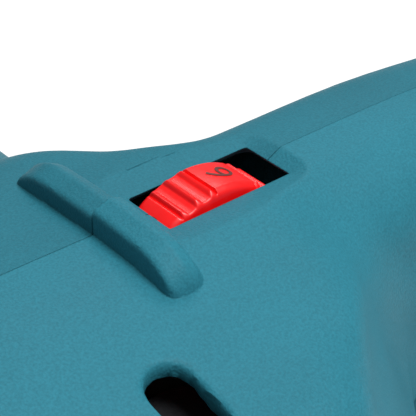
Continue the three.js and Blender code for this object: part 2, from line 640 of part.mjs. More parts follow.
// Radial fan between the stator and the belt side.
function fan() {
  const disc = cut(rodY(0, 0, 27, 26, 28, 30), rodY(0, 0, 3, 20, 40, 12));
  const blades = Array.from({ length: 10 }, (_, i) =>
    block([-0.8, 27.5, 11], [0.8, 37, 26.5]).rotate([0, i * 36, 0]),
  );
  return cut(join(disc, rodY(0, 0, 8, 26, 36, 20), ...blades), rodY(0, 0, MOTOR.shaftR + GAP, 0, 60, 16));
}

function driveBelt() {
  const inner = GAP;
  const outline = (grow) =>
    beltOutline(0, CUTTER.z, BELT.drumPulleyR + grow, MOTOR.x, MOTOR.z, BELT.motorPulleyR + grow);
  const loop = cut(
    sideExtrude(outline(inner + BELT.thick), BELT.near + 0.5, BELT.far - 0.5, 14),
    sideExtrude(outline(inner), BELT.near - 2, BELT.far + 2, 14),
  );
  add("drive_belt", loop, rubber);
}

// ---------------------------------------------------------------- controls in the handle
function controls() {
  const dial = groupAt(DIAL.x, 0, DIAL.z);
  const wheel = turnedY([
    [0, -DIAL.halfWidth], [DIAL.r - 1, -DIAL.halfWidth], [DIAL.r - 0.6, -DIAL.halfWidth + 0.6], [DIAL.r - 0.6, DIAL.halfWidth - 0.6],
    [DIAL.r - 1, DIAL.halfWidth], [0, DIAL.halfWidth],
  ], 36);
  add("speed_dial", join(wheel, rodY(0, 0, DIAL.stubR, -13, 8, 16)), red, dial);
  const module = cut(block([-9, -15, -12], [9, -DIAL.halfWidth - 0.8, 9]), rodY(0, 0, DIAL.stubR + GAP, -20, 0, 16));
  add("speed_control_module", module, black, dial);

  const lever = new THREE.Shape();
  lever.moveTo(-1, 128.5);
  lever.lineTo(-33, 128.5);
  lever.lineTo(-33, 119);
  lever.quadraticCurveTo(-22, 110, -14, 111);
  lever.quadraticCurveTo(-5, 113, -1, 124);
  const trigger = groupAt(TRIGGER_PIVOT.x, 0, 0);
  add("trigger", cut(sideExtrude(lever, -8.8, 8.8), block([-24, -5, 121], [-14, 5, 140])), red, trigger);
  add("power_switch", block([-124, -8, 133], [-84, 7, 147.5]), black);
  const button = rodY(LOCK.x, LOCK.z, LOCK.r, LOCK.inner, LOCK.outer, 20);
  const flange = rodY(LOCK.x, LOCK.z, LOCK.flangeR, LOCK.inner, LOCK.inner + 2, 20);
  add("lock_button", join(button, flange), black);
  const gland = join(rodX(-186, -170, 76, 7.1), rodX(-176, -174, 76, 9.5));
  add("cable_gland", cut(gland, rodX(-190, -160, 76, 3.8)), rubber);
}

// ---------------------------------------------------------------- chip outlet
function chipOutlet() {
  const pipe = rodY(OUTLET.x, OUTLET.z, OUTLET.r, OUTLET.end, FRAME.right - GAP, 32);
  const flange = block([OUTLET.x - 22, FRAME.right - 3.5, 14.5], [OUTLET.x + 20, FRAME.right - GAP, 50]);
  add("chip_outlet", cut(join(pipe, flange), rodY(OUTLET.x, OUTLET.z, OUTLET.boreR, -90, -20, 32)), black);
}

shells();
beltCover();
baseFrame();
rearShoe();
depthAdjustment();
cutter();
motor();
driveBelt();
controls();
chipOutlet();

export default planer;
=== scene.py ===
"""Looks of the electric hand planer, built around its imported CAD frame.

Shapes are worked out in millimetres in the tool's own frame: x = 0 at the cutter axis, y = 0 on the
housing's parting plane, z = 0 at the sole, +X the planing direction and +Y the operator's left.
to_row() moves them into the row frame, in metres.
"""

import math

import bmesh
import bpy
import numpy as np
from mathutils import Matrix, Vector
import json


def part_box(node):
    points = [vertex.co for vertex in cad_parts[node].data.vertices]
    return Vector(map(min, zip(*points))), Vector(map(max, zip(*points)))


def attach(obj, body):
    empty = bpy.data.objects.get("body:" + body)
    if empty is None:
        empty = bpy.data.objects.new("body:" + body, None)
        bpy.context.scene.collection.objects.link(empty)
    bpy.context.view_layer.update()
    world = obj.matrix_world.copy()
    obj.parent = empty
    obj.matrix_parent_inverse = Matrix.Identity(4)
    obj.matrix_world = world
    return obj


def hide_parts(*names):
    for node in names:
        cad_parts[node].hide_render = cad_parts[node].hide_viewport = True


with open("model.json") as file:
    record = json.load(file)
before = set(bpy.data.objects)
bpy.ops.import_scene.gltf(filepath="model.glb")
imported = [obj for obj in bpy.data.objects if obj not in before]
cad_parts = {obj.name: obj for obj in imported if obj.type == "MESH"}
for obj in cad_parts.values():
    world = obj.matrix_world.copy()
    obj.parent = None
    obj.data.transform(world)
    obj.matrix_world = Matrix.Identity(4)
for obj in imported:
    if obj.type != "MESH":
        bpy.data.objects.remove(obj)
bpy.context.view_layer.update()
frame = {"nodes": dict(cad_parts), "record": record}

MM = 0.001

# ---------------------------------------------------------------- driving dimensions, in millimetres
WALL = 3.0
SEAM = 0.12  # half of the gap between the two housing halves
TOP = 160.0
HALF_STEP = 0.2  # the right half sits this much lower than the left
CROWN_R = 94.0

DIAL_X = -44.1
DIAL_Z = 143.8
DIAL_R = 16.5
DIAL_LEFT = 4.6
DIAL_RIGHT = -5.2

WINDOW_FRONT = -32.8
WINDOW_REAR = -58.5
WINDOW_HALF_WIDTH = 5.6
RIM_Z = 158.1

RIB_FRONT = -21.6
RIB_TOP = 164.6
RIB_ARCH_R = 190.0
RIB_STEP = 1.1
RIB_LEFT_END = 20.2
RIB_RIGHT_END = -23.0
RIB_DEPTH = 10.0  # from its front face to the centre of its rear rounding
RIB_ROOT = 150.0  # its section starts down here, inside the crown
RIB_FOOT = 155.0  # and is used from here up
RIB_ROUNDING = 1.1
RIB_DROOP = 3.4  # how far each end droops, over RIB_DROOP_LENGTH
RIB_DROOP_LENGTH = 8.0

BARREL_X = -12.0
BARREL_Z = 114.0
BARREL_R = 38.0
MOTOR_X = -10.0
MOTOR_Z = 114.0

HANDLE_HALF_WIDTH = 21.0
HANDLE_HALF_HEIGHT = 20.5
HANDLE_CORNER_R = 17.0
WEB_INSET = 0.5  # the web above the trigger is narrower than the handle by this on each side

# The right half falls away from the parting line like a shallow roof, and rounds off at its edge.
RIGHT_PITCH = 0.08
RIGHT_EDGE = 27.0  # distance of the rounding from the parting line
RIGHT_EDGE_R = 14.0
RIGHT_EDGE_REACH = 12.0

BODY_MIDDLE_Y = 1.5
BODY_HALF_WIDTH = 48.5
BODY_EDGE_BLEND = 16.0
BARREL_MIDDLE_Y = -54.0
BARREL_HALF_LENGTH = 14.0
BARREL_EDGE_BLEND = 7.0

# A low raised patch on the left of the crown, over the motor.
BUMP_X = -12.5
BUMP_Y = 42.0
BUMP_HALF_LENGTH = 25.5
BUMP_HALF_WIDTH = 7.6
BUMP_TOP = 152.8  # its height at BUMP_LEVEL_Y, from where it falls to the left
BUMP_LEVEL_Y = 37.0
BUMP_FALL = 0.2
BUMP_SLANT = 1.02  # length of its sloping top for each millimetre across

TAIL_X = -112.0
TAIL_HALF_LENGTH = 68.0
TAIL_HALF_WIDTH = 42.5
TAIL_CORNER_R = 30.0
TAIL_TOP = 54.5  # height at TAIL_LOWEST_X, from where the top curves up both ways
TAIL_LOWEST_X = -120.0
TAIL_CURVE = 0.0012
TAIL_UNDERSIDE = 20.0

RECESS_FRONT = -23.0
RECESS_REAR = -62.0
RECESS_LEFT = 11.7
RECESS_RIGHT = -11.9
RECESS_CORNER_R = 5.5
RECESS_LIP = 0.5  # how much the crown swells towards the recess's left edge
RECESS_LIP_FADE = 3.5
RECESS_BOW = 0.9  # how far the left edge bows out, round RECESS_BOW_X
RECESS_BOW_X = -44.0
RECESS_BOW_REACH = 20.0
NARROWING = 2.6  # how much the right side narrows towards the rear
NARROWING_START = -42.0
NARROWING_LENGTH = 18.0
LEVEL_CLIMB = 0.35  # the nearly level floor on the right still climbs this much
STEP_FADE_START = -36.0  # the step that it leaves fades from here to the rear
STEP_FADE_LENGTH = 14.0

LIP = 0.7  # thickness of the window's rim
UNDERCUT = 1.6
UNDERCUT_DEPTH = 0.3  # the hole widens to its full undercut over this depth
WINDOW_CORNER_R = 0.5
WINDOW_BOTTOM = 148.0
WELL_GAP = 0.7  # round the wheel, inside the housing
RIM_PLATE = {"x": -42.0, "half_length": 22.0, "half_width": 14.0, "corner": 3.0, "bottom": 156.6}

# Openings of the housing.
TRIGGER_SLOT = {
    "x": -93.5,
    "half_length": 19.5,
    "half_width": 9.5,
    "corner": 2.0,
    "low": 105.0,
    "high": 130.0,
}
BUTTON_HOLE = {"x": -102.0, "z": 139.0, "radius": 6.2}
GLAND_HOLE = {"z": 76.0, "radius": 7.5, "from_x": -166.0}
SHAFT_HOLE = {"radius": 12.2, "from_y": 38.0}
SCREW_HEAD_R = 3.8
SCREW_POST_R = 6.0

# ---------------------------------------------------------------- from the tool's frame to the row frame
dial_low, dial_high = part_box("speed_dial")
shoe_low, shoe_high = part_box("front_shoe")
ORIGIN = Vector(
    (
        (dial_low.x + dial_high.x) / 2 - DIAL_X * MM,
        (shoe_low.y + shoe_high.y) / 2,
        0.0,
    )
)


def to_row(x, y, z):
    return ORIGIN + Vector((x, y, z)) * MM


# ---------------------------------------------------------------- camera
VIEW_AZIMUTH = 140.2
VIEW_ELEVATION = 33.9
VIEW_DISTANCE = 0.236
VIEW_RAISE = 0.0141  # how far above the picture's centre the window lies, per unit of distance
VIEW_LENS = 122.5
VIEW_FORWARD = 0.6  # the point looked at, from the window's centre
VIEW_LEFT = 0.25


def make_camera():
    azimuth = math.radians(VIEW_AZIMUTH)
    elevation = math.radians(VIEW_ELEVATION)
    back = Vector(
        (
            math.sin(azimuth) * math.cos(elevation),
            -math.cos(azimuth) * math.cos(elevation),
            math.sin(elevation),
        )
    )
    turn = (-back).to_track_quat("-Z", "Y")
    up = turn @ Vector((0, 1, 0))
    window_centre = to_row((WINDOW_FRONT + WINDOW_REAR) / 2 + VIEW_FORWARD, VIEW_LEFT, RIM_Z)
    data = bpy.data.cameras.new("camera")
    data.lens = VIEW_LENS
    data.sensor_width = 36.0
    data.clip_start = 0.01
    camera = bpy.data.objects.new("camera", data)
    camera.rotation_mode = "QUATERNION"
    camera.rotation_quaternion = turn
    camera.location = window_centre + (back - up * VIEW_RAISE) * VIEW_DISTANCE
    bpy.context.scene.collection.objects.link(camera)
    bpy.context.scene.camera = camera


make_camera()


# ---------------------------------------------------------------- distance functions
# Each takes arrays of x, y or z in millimetres and gives the distance to a surface, negative inside.
def smooth_min(a, b, k):
    """The smaller of two distances, with their meeting rounded over k."""
    h = np.clip(0.5 + 0.5 * (b - a) / k, 0.0, 1.0)
    return b + (a - b) * h - k * h * (1.0 - h)


def smooth_max(a, b, k):
    return -smooth_min(-a, -b, k)


def rounded_box_2d(u, v, half_u, half_v, r):
    qu = np.abs(u) - (half_u - r)
    qv = np.abs(v) - (half_v - r)
    outside = np.hypot(np.maximum(qu, 0), np.maximum(qv, 0))
    return outside + np.minimum(np.maximum(qu, qv), 0) - r


def segment_distance(u, v, a, b):
    """Distance to the segment from a to b."""
    du, dv = b[0] - a[0], b[1] - a[1]
    t = np.clip(((u - a[0]) * du + (v - a[1]) * dv) / (du * du + dv * dv), 0.0, 1.0)
    return np.hypot(u - a[0] - t * du, v - a[1] - t * dv)


def polygon_distance(u, v, points):
    nearest = None
    inside = False
    for a, b in zip(points, points[1:] + points[:1]):
        d = segment_distance(u, v, a, b)
        nearest = d if nearest is None else np.minimum(nearest, d)
        crosses = ((a[1] > v) != (b[1] > v)) & (
            u < (b[0] - a[0]) * (v - a[1]) / ((b[1] - a[1]) or 1e-9) + a[0]
        )
        inside = inside ^ crosses
    return np.where(inside, -nearest, nearest)


def polyline_distance(u, v, points):
    nearest = None
    for a, b in zip(points, points[1:]):
        d = segment_distance(u, v, a, b)
        nearest = d if nearest is None else np.minimum(nearest, d)
    return nearest


def catmull_rom(points, steps):
    """A smooth line through the points."""
    padded = [points[0], *points, points[-1]]
    line = []
    for i in range(len(points) - 1):
        p0, p1, p2, p3 = (np.array(p, float) for p in padded[i : i + 4])
        for s in range(steps):
            t = s / steps
            line.append(
                tuple(
                    0.5
                    * (
                        2 * p1
                        + (p2 - p0) * t
                        + (2 * p0 - 5 * p1 + 4 * p2 - p3) * t * t
                        + (3 * p1 - p0 - 3 * p2 + p3) * t**3
                    )
                )
            )
    line.append(tuple(points[-1]))
    return line


HANDLE_LINE = catmull_rom(
    [
        (-40, 139.5),
        (-62, 139.5),
        (-95, 138.8),
        (-128, 133.4),
        (-152, 118),
        (-164.5, 94),
        (-164, 68),
        (-156, 44),
    ],
    5,
)

# The web that joins the handle to the body above the trigger, seen from the side.
WEB_OUTLINE = [(-50, 140), (-98, 128), (-87, 110), (-80, 104), (-66, 92), (-50, 92)]
WEB_ROUNDING = 4.0

# Centres of the body's edge roundings, seen from the side.
BODY_ROUNDING = 8.0
BODY_OUTLINE = [
    (-63, 40),
    (51, 40),
    (51, 54.5),
    (43, 66),
    (30.5, 83),
    (28, 98),
    (28, 133),
    (23, 143.5),
    (14, 150),
    (2, 153),
    (-44, 151),
    (-56, 144),
    (-63, 130),
    (-66, 115),
    (-66, 95),
    (-64, 75),
]
# The wide body's rear corners are cut at 45 degrees in plan, and the cut leans back below.
CORNER_LEFT = 82.0
CORNER_RIGHT = 66.7
CORNER_LEVEL = 152.0
CORNER_LEAN = 0.42

BASE_OUTLINE = [
    (-220, -30),
    (150, -30),
    (150, 52),
    (46, 52),
    (40, 61),
    (-40, 61),
    (-46, 52),
    (-56, 52),
    (-68.5, 26),
    (-220, 26),
]
BASE_GAP = 0.35

CLOSING_SCREWS = [
    (50, 61.5, -30),
    (-49, 63, -30),
    (-70, 144, -14),
    (-141, 126, -13),
    (-164.5, 84, -13),
    (-112, 41, -28),
]
SLOT_ANGLES = (0, 28, 57)
SLOT_HALF_WIDTH = 4.0
SLOT_INNER = 28.0
SLOT_OUTER = 44.0
SLOT_BOTTOM_R = 24.0  # the slots are cut down to this distance from the barrel's axis


def crown_height(y):
    """Height of the crown across the tool, without the swelling beside the window."""
    left = np.sqrt(np.maximum(CROWN_R**2 - y * y, 1.0)) - CROWN_R
    beyond = np.clip(np.abs(y) - RIGHT_EDGE, 0.0, RIGHT_EDGE_REACH)
    right = -RIGHT_PITCH * np.abs(y) - beyond**2 / (2 * RIGHT_EDGE_R) - HALF_STEP
    return TOP + np.where(y < 0, right, left)


def swelling(x, y):
    """How far the left of the crown swells towards the edge of the window's recess."""
    near = np.exp(-np.maximum(recess_outline(x, y), 0.0) / RECESS_LIP_FADE)
    return RECESS_LIP * near * np.clip(y / RECESS_LEFT, 0.0, 1.0)


def crown(x, y, z):
    return (z - crown_height(y) - swelling(x, y)) / np.hypot(1.0, y / CROWN_R)


def rear_corner(x, y, z):
    reach = np.where(y < 0, CORNER_RIGHT, CORNER_LEFT) + CORNER_LEAN * (CORNER_LEVEL - z)
    return (np.abs(y) - x - reach) / math.sqrt(2 + CORNER_LEAN**2)


def motor_bump(x, y, z):
    top = (z - BUMP_TOP + BUMP_FALL * (y - BUMP_LEVEL_Y)) / BUMP_SLANT
    patch = smooth_max(
        np.abs(x - BUMP_X) - BUMP_HALF_LENGTH, np.abs(y - BUMP_Y) - BUMP_HALF_WIDTH, 8.0
    )
    return smooth_max(patch, top, 6.0)


def wide_body(x, y, z):
    side = polygon_distance(x, z, BODY_OUTLINE) - BODY_ROUNDING
    body = smooth_max(side, np.abs(y - BODY_MIDDLE_Y) - BODY_HALF_WIDTH, BODY_EDGE_BLEND)
    # The corner's edge is soft at the crown and crisp lower down.
    softness = 2.0 + 4.0 * np.clip((z - 138.0) / 12.0, 0.0, 1.0)
    body = smooth_max(body, rear_corner(x, y, z), softness)
    body = smooth_max(body, crown(x, y, z), 4.0)
    barrel = np.hypot(x - BARREL_X, z - BARREL_Z) - BARREL_R
    barrel = smooth_max(barrel, np.abs(y - BARREL_MIDDLE_Y) - BARREL_HALF_LENGTH, BARREL_EDGE_BLEND)
    return smooth_min(body, barrel, 4.0)


def handle(x, y, z):
    off_line = polyline_distance(x, np.where(y < 0, z + HALF_STEP, z), HANDLE_LINE)
    grip = rounded_box_2d(off_line, y, HANDLE_HALF_HEIGHT, HANDLE_HALF_WIDTH, HANDLE_CORNER_R)
    web = polygon_distance(x, z, WEB_OUTLINE) - WEB_ROUNDING
    web = smooth_max(web, np.abs(y) - HANDLE_HALF_WIDTH + WEB_INSET, 8.0)
    return smooth_min(grip, web, 6.0)


def tail(x, y, z):
    plan = rounded_box_2d(x - TAIL_X, y, TAIL_HALF_LENGTH, TAIL_HALF_WIDTH, TAIL_CORNER_R)
    top = z - TAIL_TOP - TAIL_CURVE * (x - TAIL_LOWEST_X) ** 2
    return smooth_max(smooth_max(plan, top, 10.0), TAIL_UNDERSIDE - z, 1.0)


def rib(x, y, z):
    """The guard rib in front of the window: nearly level across, with drooping ends."""
    lower = np.where(y < 0, RIB_STEP, 0.0)
    middle = (RIB_LEFT_END + RIB_RIGHT_END) / 2
    half = (RIB_LEFT_END - RIB_RIGHT_END) / 2
    arch = y * y / (2 * RIB_ARCH_R)
    into_end = np.maximum(np.abs(y - middle) - half + RIB_DROOP_LENGTH, 0.0)
    height = z + arch + RIB_DROOP * np.square(into_end / RIB_DROOP_LENGTH) + lower
    outline = [
        (RIB_FRONT - RIB_ROUNDING, RIB_ROOT),
        (RIB_FRONT - RIB_ROUNDING, RIB_TOP - 0.9 - RIB_ROUNDING),
        (RIB_FRONT - 3.6, RIB_TOP - RIB_ROUNDING),
        (RIB_FRONT - 5.0, RIB_TOP - 0.7 - RIB_ROUNDING),
        (RIB_FRONT - RIB_DEPTH, RIB_TOP - 10.0 - RIB_ROUNDING),
        (RIB_FRONT - RIB_DEPTH, RIB_ROOT),
    ]
    across = polygon_distance(x, height, outline) - RIB_ROUNDING
    return smooth_max(across, np.abs(y - middle) - half, 2.4)


def window_outline(x, y):
    middle = (WINDOW_FRONT + WINDOW_REAR) / 2
    half = (WINDOW_FRONT - WINDOW_REAR) / 2
    return rounded_box_2d(x - middle, y, half, WINDOW_HALF_WIDTH, WINDOW_CORNER_R)


def recess_outline(x, y):
    bow = 1.0 - np.square((x - RECESS_BOW_X) / RECESS_BOW_REACH)
    narrowing = NARROWING * np.clip((NARROWING_START - x) / NARROWING_LENGTH, 0.0, 1.0)
    across = np.where(y > 0, y - RECESS_BOW * np.clip(bow, 0.0, 1.0), y - narrowing)
    return rounded_box_2d(
        x - (RECESS_FRONT + RECESS_REAR) / 2,
        across - (RECESS_LEFT + RECESS_RIGHT) / 2,
        (RECESS_FRONT - RECESS_REAR) / 2,
        (RECESS_LEFT - RECESS_RIGHT) / 2,
        RECESS_CORNER_R,
    )


def window_recess(x, y, z):
    """The recess round the window: its floor slopes from the rim up to the crown.

    On the right the floor stays level and leaves a small step, which fades at the rear.
    """
    outline = recess_outline(x, y)
    from_window = np.maximum(window_outline(x, y), 0.0)
    to_edge = np.maximum(-outline, 0.0)
    climb = from_window / np.maximum(from_window + to_edge, 1e-6)
    fade = np.clip((STEP_FADE_START - x) / STEP_FADE_LENGTH, 0.0, 1.0)
    share = np.where(y < -WINDOW_HALF_WIDTH, fade, 1.0)
    rise = crown_height(y) + swelling(x, y) - RIM_Z
    floor = RIM_Z + climb * (share * rise + LEVEL_CLIMB * (1.0 - share))
    return np.maximum(floor - z, outline)


def window(x, y, z):
    # The rim is a thin lip: the hole widens under it.
    widening = UNDERCUT * np.clip((RIM_Z - LIP - z) / UNDERCUT_DEPTH, 0.0, 1.0)
    hole = np.maximum(window_outline(x, y) - widening, WINDOW_BOTTOM - z)
    well = np.hypot(x - DIAL_X, z - DIAL_Z) - DIAL_R - WELL_GAP
    return np.minimum(hole, np.maximum(well, np.abs(y) - WINDOW_HALF_WIDTH))


def air_slots(x, y, z):
    nearest = None
    for angle in SLOT_ANGLES:
        a = math.radians(angle)
        across = (x - BARREL_X) * math.cos(a) - (z - BARREL_Z) * math.sin(a)
        out = (x - BARREL_X) * math.sin(a) + (z - BARREL_Z) * math.cos(a)
        middle = (SLOT_INNER + SLOT_OUTER) / 2
        half = (SLOT_OUTER - SLOT_INNER) / 2
        lying = rounded_box_2d(
            across, np.abs(y) - middle, SLOT_HALF_WIDTH, half, SLOT_HALF_WIDTH - 0.1
        )
        slot = np.maximum(lying, SLOT_BOTTOM_R - out)
        nearest = slot if nearest is None else np.minimum(nearest, slot)
    return nearest


def boxed(x, y, block):
    """Plan of a block, such as the trigger's slot or the plate under the window."""
    return rounded_box_2d(x - block["x"], y, block["half_length"], block["half_width"], block["corner"])


def openings(x, y, z):
    trigger = np.maximum(boxed(x, y, TRIGGER_SLOT), z - TRIGGER_SLOT["high"])
    trigger = np.maximum(trigger, TRIGGER_SLOT["low"] - z)
    button = np.maximum(np.hypot(x - BUTTON_HOLE["x"], z - BUTTON_HOLE["z"]) - BUTTON_HOLE["radius"], -y)
    gland = np.maximum(np.hypot(y, z - GLAND_HOLE["z"]) - GLAND_HOLE["radius"], x - GLAND_HOLE["from_x"])
    shaft = np.hypot(x - MOTOR_X, z - MOTOR_Z) - SHAFT_HOLE["radius"]
    shaft = np.maximum(shaft, SHAFT_HOLE["from_y"] - y)
    return np.minimum(np.minimum(trigger, button), np.minimum(gland, shaft))


def screw_posts(x, y, z):
    """(posts, head holes) of the screws that close the housing from the right."""
    posts = None
    holes = None
    for sx, sz, seat in CLOSING_SCREWS:
        off = np.hypot(x - sx, z - sz)
        hole = np.maximum(off - SCREW_HEAD_R, y - seat)
        posts = off if posts is None else np.minimum(posts, off)
        holes = hole if holes is None else np.minimum(holes, hole)
    return posts - SCREW_POST_R, holes


def housing(x, y, z):
    body = smooth_min(wide_body(x, y, z), handle(x, y, z), 7.0)
    body = smooth_max(body, crown(x, y, z), 1.0)
    body = smooth_min(body, motor_bump(x, y, z), 3.5)
    outer = smooth_min(body, tail(x, y, z), 10.0)
    posts, holes = screw_posts(x, y, z)
    shell = np.maximum(outer, -(outer + WALL))
    # Under the recess a plate carries the window's rim.
    rim_plate = np.maximum(boxed(x, y, RIM_PLATE), RIM_PLATE["bottom"] - z)
    shell = np.minimum(shell, np.maximum(outer, rim_plate))
    shell = np.minimum(shell, np.maximum(outer, posts))
    shell = np.maximum(shell, -window_recess(x, y, z))
    shell = np.minimum(shell, np.maximum(rib(x, y, z), RIB_FOOT - z))
    shell = np.maximum(shell, -window(x, y, z))
    shell = smooth_max(shell, -air_slots(x, y, z), 1.0)
    shell = np.maximum(shell, -openings(x, y, z))
    shell = np.maximum(shell, -holes)
    return np.maximum(shell, BASE_GAP - polygon_distance(x, z, BASE_OUTLINE))


def left_half(x, y, z):
    return np.maximum(housing(x, y, z), SEAM - y)


def right_half(x, y, z):
    return np.maximum(housing(x, y, z), y + SEAM)


# ---------------------------------------------------------------- meshing
def graded(low, high, coarse, *fine_ranges):
    """Grid lines from low to high, closer together in each (start, end, step) of fine_ranges."""
    lines = [low]
    for start, end, step in (*fine_ranges, (high, high, coarse)):
        lines.extend(np.linspace(lines[-1], start, max(1, math.ceil((start - lines[-1]) / coarse)) + 1)[1:])
        if end > start:
            lines.extend(np.linspace(start, end, math.ceil((end - start) / step) + 1)[1:])
    return np.array(lines)


def gradient(distance, points, step=0.02):
    slopes = []
    for axis in range(3):
        ahead = points.copy()
        behind = points.copy()
        ahead[:, axis] += step
        behind[:, axis] -= step
        slopes.append(distance(*ahead.T) - distance(*behind.T))
    normals = np.stack(slopes, 1)
    return normals / np.maximum(np.linalg.norm(normals, axis=1, keepdims=True), 1e-9)


def dual_contour(distance, lines):
    """Quads on the zero surface of distance, with their corners on its creases.

    lines holds the grid's x, y and z coordinates. Returns points and quads.
    """
    xs, ys, zs = lines
    counts = (len(xs), len(ys), len(zs))
    field = np.broadcast_to(
        distance(xs[:, None, None], ys[None, :, None], zs[None, None, :]), counts
    )
    inside = field < 0
    cell_shape = tuple(n - 1 for n in counts)
    all_points, all_cells, all_flips = [], [], []
    for axis in range(3):
        near = tuple(slice(None, -1) if a == axis else slice(None) for a in range(3))
        far = tuple(slice(1, None) if a == axis else slice(None) for a in range(3))
        start = np.argwhere(inside[near] != inside[far])
        end = start.copy()
        end[:, axis] += 1
        f0 = field[tuple(start.T)]
        f1 = field[tuple(end.T)]
        share = f0 / (f0 - f1)
        points = np.stack([line[start[:, a]] for a, line in enumerate(lines)], 1)
        span = lines[axis][end[:, axis]] - lines[axis][start[:, axis]]
        points[:, axis] += share * span
        u, v = (axis + 1) % 3, (axis + 2) % 3
        ring = []
        for du, dv in ((-1, -1), (0, -1), (0, 0), (-1, 0)):
            cell = start.copy()
            cell[:, u] += du
            cell[:, v] += dv
            ring.append(np.ravel_multi_index(tuple(cell.T), cell_shape))
        all_points.append(points)
        all_cells.append(np.stack(ring, 1))
        all_flips.append(f0 > 0)
    points = np.concatenate(all_points)
    cells = np.concatenate(all_cells)
    flips = np.concatenate(all_flips)
    normals = gradient(distance, points)
    used, index = np.unique(cells.ravel(), return_inverse=True)
    vertices = best_corners(points, normals, used, index, lines, cell_shape)
    quads = index.reshape(-1, 4)
    quads[flips] = quads[flips][:, ::-1]
    return vertices, quads


CENTRE_PULL = 0.04  # how strongly each corner is held to the middle of its crossings


def best_corners(points, normals, used, index, lines, cell_shape):
    """One point per cell, where the planes through its crossings meet best."""
    total = len(used)

    def gather(values):
        return np.bincount(index, weights=np.repeat(values, 4), minlength=total)

    count = gather(np.ones(len(points)))
    centre = np.stack([gather(points[:, a]) for a in range(3)], 1) / count[:, None]
    reach = (normals * points).sum(1)
    matrix = np.empty((total, 3, 3))
    right_side = np.empty((total, 3))
    for a in range(3):
        for b in range(3):
            matrix[:, a, b] = gather(normals[:, a] * normals[:, b])
        right_side[:, a] = gather(normals[:, a] * reach)
    right_side -= (matrix @ centre[:, :, None])[:, :, 0]
    matrix += np.eye(3) * CENTRE_PULL
    vertices = centre + np.linalg.solve(matrix, right_side[:, :, None])[:, :, 0]
    corner = np.stack(np.unravel_index(used, cell_shape), 1)
    low = np.stack([line[corner[:, a]] for a, line in enumerate(lines)], 1)
    high = np.stack([line[corner[:, a] + 1] for a, line in enumerate(lines)], 1)
    return np.clip(vertices, low, high)


def link_piece(name, data):
    piece = bpy.data.objects.new(name, data)
    bpy.context.scene.collection.objects.link(piece)
    return piece


def smooth_between_creases(mesh, sharp_degrees):
    mesh.polygons.foreach_set("use_smooth", [True] * len(mesh.polygons))
    mesh.set_sharp_from_angle(angle=math.radians(sharp_degrees))


def mesh_object(name, vertices, faces, sharp_degrees=38):
    """A piece from arrays of points, in millimetres in the tool's frame, and of their faces."""
    mesh = bpy.data.meshes.new(name)
    placed = vertices * MM + np.array(ORIGIN)
    mesh.from_pydata(placed.tolist(), [], faces.tolist())
    mesh.validate()
    smooth_between_creases(mesh, sharp_degrees)
    return link_piece(name, mesh)


def listed_object(name, vertices, faces, sharp_degrees=40):
    """The same from lists, whose faces may differ in their number of corners."""
    mesh = bpy.data.meshes.new(name)
    mesh.from_pydata([tuple(to_row(*v)) for v in vertices], [], faces)
    smooth_between_creases(mesh, sharp_degrees)
    return link_piece(name, mesh)


def finish_piece(piece, material, body, slot, *nodes):
    piece.data.materials.clear()
    piece.data.materials.append(material)
    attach(piece, body)
    if nodes:
        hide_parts(*nodes)


# ---------------------------------------------------------------- materials
def new_material(name):
    material = bpy.data.materials.new(name)
    material.use_nodes = True
    tree = material.node_tree
    shader = tree.nodes["Principled BSDF"]
    place = tree.nodes.new("ShaderNodeTexCoord").outputs["Object"]
    return material, tree, shader, place


def noise(tree, place, scale, detail=2.0):
    node = tree.nodes.new("ShaderNodeTexNoise")
    node.inputs["Scale"].default_value = scale
    node.inputs["Detail"].default_value = detail
    tree.links.new(place, node.inputs["Vector"])
    return node.outputs["Fac"]


def spread(tree, value, low, high, from_low=0.3, from_high=0.7):
    """Maps a noise value onto a range."""
    node = tree.nodes.new("ShaderNodeMapRange")
    node.inputs["From Min"].default_value = from_low
    node.inputs["From Max"].default_value = from_high
    node.inputs["To Min"].default_value = low
    node.inputs["To Max"].default_value = high
    tree.links.new(value, node.inputs["Value"])
    return node.outputs["Result"]


def tint(tree, share, dark, light):
    node = tree.nodes.new("ShaderNodeMix")
    node.data_type = "RGBA"
    node.inputs["A"].default_value = (*dark, 1)
    node.inputs["B"].default_value = (*light, 1)
    tree.links.new(share, node.inputs["Factor"])
    return node.outputs["Result"]


def bump(tree, shader, height, strength, distance, below=None):
    node = tree.nodes.new("ShaderNodeBump")
    node.inputs["Strength"].default_value = strength
    node.inputs["Distance"].default_value = distance
    tree.links.new(height, node.inputs["Height"])
    if below is not None:
        tree.links.new(below, node.inputs["Normal"])
    tree.links.new(node.outputs["Normal"], shader.inputs["Normal"])
    return node.outputs["Normal"]


def shade(colour, factor):
    return tuple(min(1.0, c * factor) for c in colour)


EDGE_ROUNDING = 0.0003


def grained_plastic(name, colour, roughness=0.5, grain=2400.0, depth=0.0002, variation=0.18):
    """Moulded plastic with a fine spark-eroded grain and faint handling marks."""
    material, tree, shader, place = new_material(name)
    fine = noise(tree, place, grain, 3.0)
    broad = noise(tree, place, 38.0, 3.0)
    mixed = tree.nodes.new("ShaderNodeMath")
    mixed.operation = "ADD"
    tree.links.new(spread(tree, fine, 0.0, 0.7), mixed.inputs[0])
    tree.links.new(spread(tree, broad, 0.0, 0.3), mixed.inputs[1])
    colours = tint(
        tree,
        mixed.outputs["Value"],
        shade(colour, 1.0 - variation),
        shade(colour, 1.0 + variation),
    )
    tree.links.new(colours, shader.inputs["Base Color"])
    rough = spread(tree, broad, roughness - 0.05, roughness + 0.07)
    tree.links.new(rough, shader.inputs["Roughness"])
    shader.inputs["IOR"].default_value = 1.2
    rounded = tree.nodes.new("ShaderNodeBevel")
    rounded.inputs["Radius"].default_value = EDGE_ROUNDING
    bump(tree, shader, fine, 0.55, depth, rounded.outputs["Normal"])
    return material


